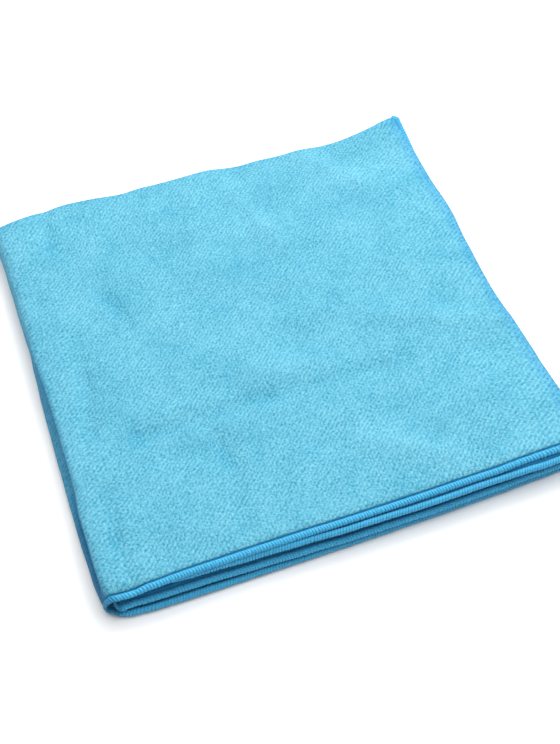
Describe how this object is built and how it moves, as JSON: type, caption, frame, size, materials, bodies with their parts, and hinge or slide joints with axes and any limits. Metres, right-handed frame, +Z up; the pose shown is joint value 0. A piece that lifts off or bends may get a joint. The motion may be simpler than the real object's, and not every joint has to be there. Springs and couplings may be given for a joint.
{
  "type": "folded microfibre cloth",
  "caption": "Square plush microfibre cleaning cloth with overlocked hems, folded in quarters and lying flat.",
  "frame": {"origin": "under the middle of the folded cloth's box, on the surface it lies on", "axes": "+Z up through the layers; +Y from the front hems to the back fold; +X from the left fold to the right hems"},
  "size_m": [0.2078, 0.2126, 0.0173],
  "materials": {
    "microfibre": "matte looped microfibre pile with slightly shiny overlock thread in the same blue"
  },
  "bodies": {
    "root": {"cloth": "microfibre"}
  },
  "joints": []
}
